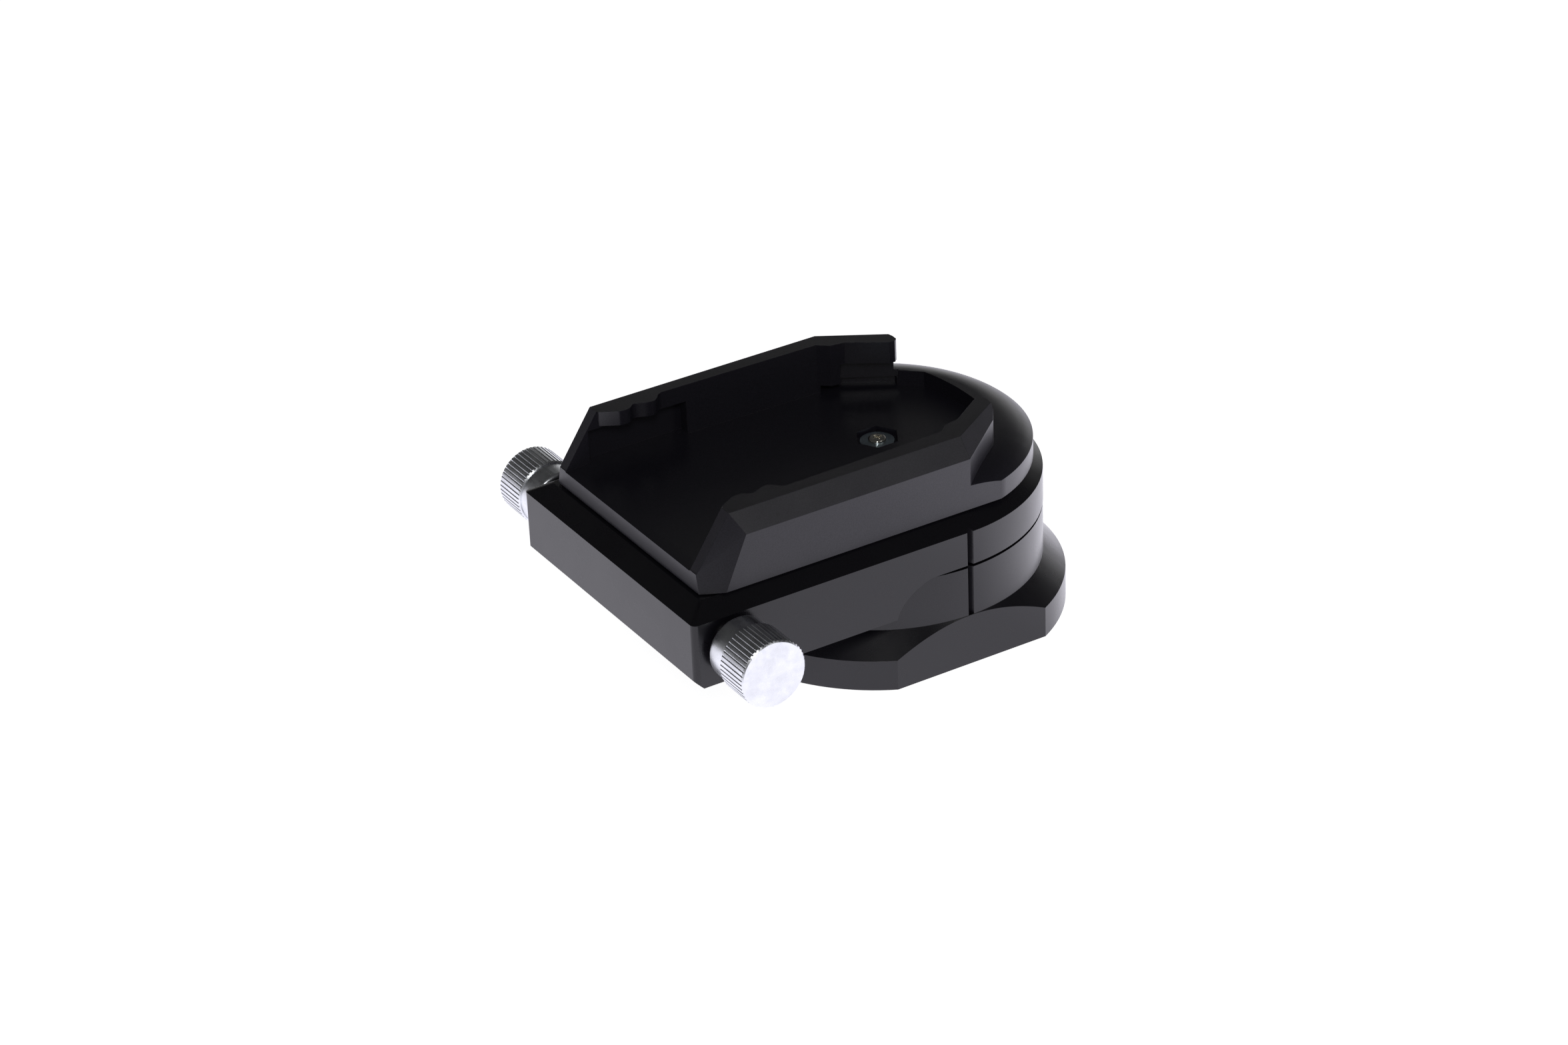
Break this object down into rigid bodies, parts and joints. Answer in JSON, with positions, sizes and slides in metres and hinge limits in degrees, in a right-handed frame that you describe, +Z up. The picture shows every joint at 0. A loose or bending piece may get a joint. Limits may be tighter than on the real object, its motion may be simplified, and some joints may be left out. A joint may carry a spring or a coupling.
{
  "type": "fine-adjust azimuth head",
  "caption": "Tripod head for a handheld sighting instrument: round foot, arm that turns on a vertical axis, twin-knob fine drive and a channel-shaped cradle",
  "frame": {"origin": "centre of the tripod socket's mouth, where the azimuth axis meets the underside of the foot", "axes": "+Z up along the azimuth axis; -X along the arm towards the knobs; the fine-drive spindle lies along Y; -Y is the side with the index notch"},
  "size_m": [0.1276, 0.1204, 0.0603],
  "materials": {
    "base": "black anodised, fine bead-blast",
    "tripod_insert": "turned stainless steel",
    "insert_screw": "blackened steel",
    "thrust_washer": "white low-friction plastic",
    "retaining_washer": "ground steel",
    "retaining_screw": "blackened steel",
    "arm": "black anodised, fine bead-blast",
    "azimuth_bush": "sintered bronze",
    "wave_spring": "spring steel",
    "pivot_cap": "ground steel",
    "cap_screws": "blackened steel",
    "pivot_washer": "zinc plated, slightly blue",
    "pivot_screw": "nickel plated, polished head",
    "slot_cover": "blackened sheet steel",
    "cover_screws": "blackened steel",
    "glides": "white low-friction plastic",
    "near_bush": "black anodised, turned",
    "far_bush": "black anodised, turned",
    "bush_screws": "blackened steel",
    "spindle": "turned steel",
    "near_knob": "clear anodised, straight knurl",
    "far_knob": "clear anodised, straight knurl",
    "knob_screws": "blackened steel",
    "spindle_washers": "black acetal",
    "drive_nut": "machined brass",
    "drive_pin": "ground steel",
    "cradle": "black glass-filled plastic, fine spark texture",
    "fork_plate": "machined brass",
    "fork_screws": "blackened steel"
  },
  "bodies": {
    "base": {"base": "base", "tripod_insert": "tripod_insert", "insert_screw": "insert_screw", "thrust_washer": "thrust_washer", "retaining_washer": "retaining_washer", "retaining_screw": "retaining_screw"},
    "arm": {"arm": "arm", "azimuth_bush": "azimuth_bush", "wave_spring": "wave_spring", "pivot_cap": "pivot_cap", "cap_screws": "cap_screws", "pivot_washer": "pivot_washer", "pivot_screw": "pivot_screw", "slot_cover": "slot_cover", "cover_screws": "cover_screws", "glides": "glides", "near_bush": "near_bush", "far_bush": "far_bush", "bush_screws": "bush_screws"},
    "spindle": {"spindle": "spindle", "near_knob": "near_knob", "far_knob": "far_knob", "knob_screws": "knob_screws", "spindle_washers": "spindle_washers"},
    "nut": {"drive_nut": "drive_nut", "drive_pin": "drive_pin"},
    "cradle": {"cradle": "cradle", "fork_plate": "fork_plate", "fork_screws": "fork_screws"}
  },
  "joints": [
    {"name": "azimuth", "type": "hinge", "parent": "base", "child": "arm", "pos_m": [0, 0, 0.0282], "axis": [0, 0, 1], "continuous": true},
    {"name": "fine_knobs", "type": "hinge", "parent": "arm", "child": "spindle", "pos_m": [-0.0688, 0, 0.0298], "axis": [0, 1, 0], "range_deg": [-1224, 1224]},
    {"name": "nut_travel", "type": "slide", "parent": "arm", "child": "nut", "axis": [0, 1, 0], "range_m": [-0.0034, 0.0034]},
    {"name": "cradle_yaw", "type": "hinge", "parent": "arm", "child": "cradle", "pos_m": [0, 0, 0.043], "axis": [0, 0, 1], "range_deg": [-2.83, 2.83]}
  ],
  "couplings": [
    {"joint": "nut_travel", "follows": "fine_knobs", "m_per_rad": 0.00015915},
    {"joint": "cradle_yaw", "follows": "fine_knobs", "ratio": -0.0023133}
  ]
}
